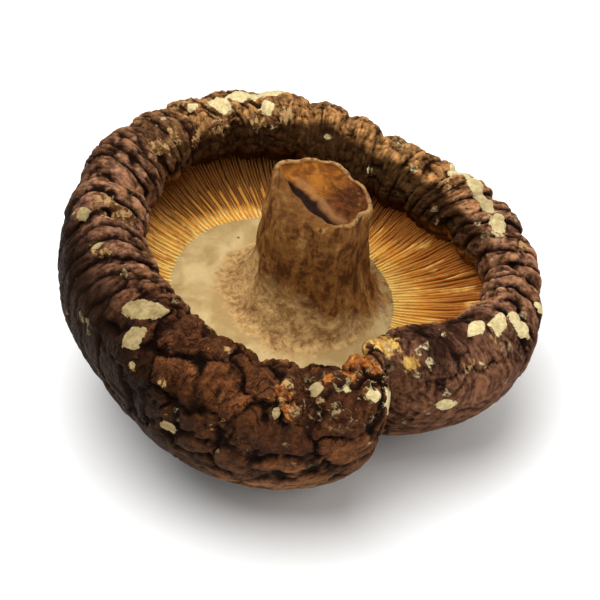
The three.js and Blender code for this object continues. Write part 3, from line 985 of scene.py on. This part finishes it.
def gill_material():
    s = Shader("shiitake_gills")
    along = s.field("along")
    rise = s.field("rise")
    tone_and_painted_light = s.field("tone_and_painted_light")
    fine = s.noise(0.6, 4, rough=0.6)
    blotch = s.noise(2.4, 3)

    # Orange, cream by the disc, brown towards the wall, and painted shade down between the gills; paler
    #     # on the left and browner on the right, a painted light.
    colour = s.mix(s.ramp(blotch, 0.35, 0.65), (0.58, 0.205, 0.026), (0.74, 0.32, 0.055))
    colour = s.mix(s.ramp(along, 0.4, 0.0, 0.0, 0.9), colour, (0.76, 0.46, 0.13))
    colour = s.mix(s.ramp(tone_and_painted_light, 0.5, -0.5, 0.0, 0.6), colour, (0.92, 0.56, 0.19))
    brown = (0.15, 0.042, 0.008)
    deep = s.total((along, 1.0), (tone_and_painted_light, 0.3), (blotch, 0.4))
    colour = s.mix(s.ramp(deep, 0.6, 1.25, 0.0, 0.85), colour, brown)
    # Painted shade low on the gills, down between them.
    colour = s.mix(s.ramp(rise, 0.6, 0.1, 0.0, 0.15), colour, (0.24, 0.070, 0.010))

    # Brown and cream patches along the gills, and painted shade under the roll at the rear.
    patch = s.noise(1.0, 3, on=s.vector("strip"))
    colour = s.mix(s.ramp(patch, 0.5, 0.66, 0.0, 0.65), colour, brown)
    colour = s.mix(s.ramp(patch, 0.46, 0.32, 0.0, 0.8), colour, (0.72, 0.40, 0.11))
    colour = s.mix(s.ramp(fine, 0.56, 0.72, 0.0, 0.4), colour, brown)
    # Painted shade under the roll at the rear.
    dusk = s.total((s.field("dusk"), 1.0), (patch, 0.3), (1.0, -0.15))
    colour = s.mix(s.ramp(dusk, 0.1, 0.75, 0.0, 0.95), colour, (0.092, 0.033, 0.007))
    s.put(s.bsdf.inputs["Base Color"], colour)
    s.bsdf.inputs["Roughness"].default_value = 0.6
    s.bsdf.inputs["IOR"].default_value = 1.35
    s.bsdf.inputs["Specular IOR Level"].default_value = 0.15
    s.bsdf.inputs["Subsurface Weight"].default_value = 0.6
    s.bsdf.inputs["Subsurface Radius"].default_value = (1.0, 0.45, 0.12)
    s.bsdf.inputs["Subsurface Scale"].default_value = 0.0012
    s.bump(fine, 0.08)
    return s.material


def flesh_material():
    s = Shader("shiitake_flesh")
    fine = s.noise(0.5, 4, rough=0.65)
    mottle = s.noise(1.3, 4, stretch=(1, 1, 2.2), distortion=0.5)
    streak = s.noise(0.4, 3, stretch=(1, 1, 5))
    blotch = s.noise(3.2, 4, distortion=0.4)

    # The cream disc, stained tan round the stem, and the brown stem, darker past the step of the cut.
    cream = s.mix(s.ramp(blotch, 0.35, 0.65), (0.33, 0.215, 0.085), (0.48, 0.355, 0.165))
    cream = s.mix(s.ramp(fine, 0.5, 0.8, 0.0, 0.35), cream, (0.27, 0.16, 0.06))
    grit = s.noise(0.55, 4, rough=0.7)
    speckled = s.total((grit, 0.45), (fine, 0.25), (s.noise(1.8, 3), 0.3))
    tan = s.mix(s.ramp(speckled, 0.36, 0.62), (0.15, 0.060, 0.015), (0.50, 0.315, 0.125))
    tone = s.total((mottle, 1.0), (streak, 0.2), (fine, 0.5))
    brown = s.mix(s.ramp(tone, 0.72, 0.92), (0.085, 0.030, 0.008), (0.22, 0.092, 0.023))
    brown = s.mix(s.ramp(tone, 0.93, 1.05, 0.0, 0.75), brown, (0.36, 0.195, 0.062))
    stained = s.total((s.field("stain"), 1.0), (blotch, 1.6), (grit, 1.6), (1.0, -1.6))
    colour = s.mix(s.ramp(stained, 0.3, 0.8, 0.0, 0.95), cream, tan)
    edge = s.total((s.field("foot"), 1.0), (blotch, 5.0), (grit, 2.0), (1.0, -3.5))
    colour = s.mix(s.ramp(edge, -2.6, -0.6), colour, brown)
    colour = s.mix(s.math("MULTIPLY", s.field("lip"), 0.6), colour, (0.085, 0.034, 0.009))

    # The cut: orange, dark red on one side, with a torn pale edge, a tan core, and painted shade in the
    #     # gash along its step.
    cut = s.mix(s.ramp(mottle, 0.38, 0.62), (0.28, 0.10, 0.013), (0.14, 0.042, 0.007))
    dusk = s.mix(s.ramp(mottle, 0.38, 0.62), (0.10, 0.028, 0.006), (0.034, 0.010, 0.003))
    cut = s.mix(s.field("redden"), cut, dusk)
    cut = s.mix(s.ramp(fine, 0.55, 0.8, 0.0, 0.5), cut, (0.36, 0.17, 0.05))
    frayed = s.math("MULTIPLY", s.field("torn"), s.ramp(fine, 0.38, 0.6, 0.15, 0.85))
    colour = s.mix(frayed, colour, (0.36, 0.22, 0.095))
    colour = s.mix(s.field("face"), colour, cut)
    colour = s.mix(s.math("MULTIPLY", s.field("core"), 0.6), colour, (0.27, 0.13, 0.05))
    # Painted shade in the gash along the step of the cut.
    colour = s.mix(s.ramp(s.field("dark"), 0.12, 0.5), colour, (0.018, 0.008, 0.005))

    # A few dark specks all over.
    speck = s.math("MULTIPLY", s.ramp(s.dots(3.2), 0.10, 0.07), s.ramp(s.noise(1.6, 2), 0.48, 0.52))
    colour = s.mix(s.math("MULTIPLY", speck, 0.85), colour, (0.05, 0.022, 0.010))
    s.put(s.bsdf.inputs["Base Color"], colour)
    s.put(s.bsdf.inputs["Roughness"], s.ramp(fine, 0.3, 0.7, 0.6, 0.85))
    s.bsdf.inputs["IOR"].default_value = 1.35
    s.bsdf.inputs["Specular IOR Level"].default_value = 0.08
    s.bsdf.inputs["Subsurface Weight"].default_value = 0.12
    s.bsdf.inputs["Subsurface Radius"].default_value = (1.0, 0.55, 0.25)
    s.bsdf.inputs["Subsurface Scale"].default_value = 0.0008
    s.bump(s.total((fine, 1.0), (mottle, 0.8), (streak, 0.4)), 0.14)
    return s.material


def floor():
    mesh = bpy.data.meshes.new("floor")
    half = 2.0
    corners = [(-half, -half, 0), (half, -half, 0), (half, half, 0), (-half, half, 0)]
    mesh.from_pydata(corners, [], [(0, 1, 2, 3)])
    made = bpy.data.objects.new("floor", mesh)
    bpy.context.scene.collection.objects.link(made)
    s = Shader("pale_floor")
    colour = s.mix(s.noise(40, 3), (0.86, 0.86, 0.855), (0.88, 0.88, 0.875))
    s.put(s.bsdf.inputs["Base Color"], colour)
    s.bsdf.inputs["Roughness"].default_value = 0.7
    mesh.materials.append(s.material)


def area_light(name, place, target, size, power):
    """A round soft light that shines on a target, in metres and watts."""
    light = bpy.data.lights.new(name, "AREA")
    light.shape = "DISK"
    light.size = size
    light.energy = power
    made = bpy.data.objects.new(name, light)
    made.location = place
    made.rotation_euler = (Vector(target) - Vector(place)).to_track_quat("-Z", "Y").to_euler()
    bpy.context.scene.collection.objects.link(made)


def lights():
    middle = (0, 0, 0.012)
    area_light("key", (-0.08, -0.05, 0.48), middle, 0.50, 3.15)
    area_light("fill", (0.40, -0.24, 0.34), middle, 0.40, 0.8)
    area_light("back", (0.05, 0.34, 0.42), middle, 0.35, 0.6)
    world = bpy.data.worlds.new("studio")
    world.use_nodes = True
    background = world.node_tree.nodes["Background"]
    background.inputs["Color"].default_value = (1.0, 0.99, 0.97, 1)
    background.inputs["Strength"].default_value = 0.46
    bpy.context.scene.world = world


def camera():
    elevation = math.radians(CAMERA_ELEVATION)
    target = Vector((0.0, -0.0005, 0.0135))
    data = bpy.data.cameras.new("camera")
    data.sensor_width = SENSOR_WIDTH
    data.lens = SENSOR_WIDTH * CAMERA_DISTANCE / FRAME_WIDTH
    made = bpy.data.objects.new("camera", data)
    made.location = target + Vector((0, -math.cos(elevation), math.sin(elevation))) * CAMERA_DISTANCE
    made.rotation_euler = (target - made.location).to_track_quat("-Z", "Y").to_euler()
    bpy.context.scene.collection.objects.link(made)
    bpy.context.scene.camera = made


cap(skin_material())
stem(flesh_material())
gills(gill_material())
floor()
lights()
camera()
bpy.context.scene.view_settings.view_transform = "Standard"
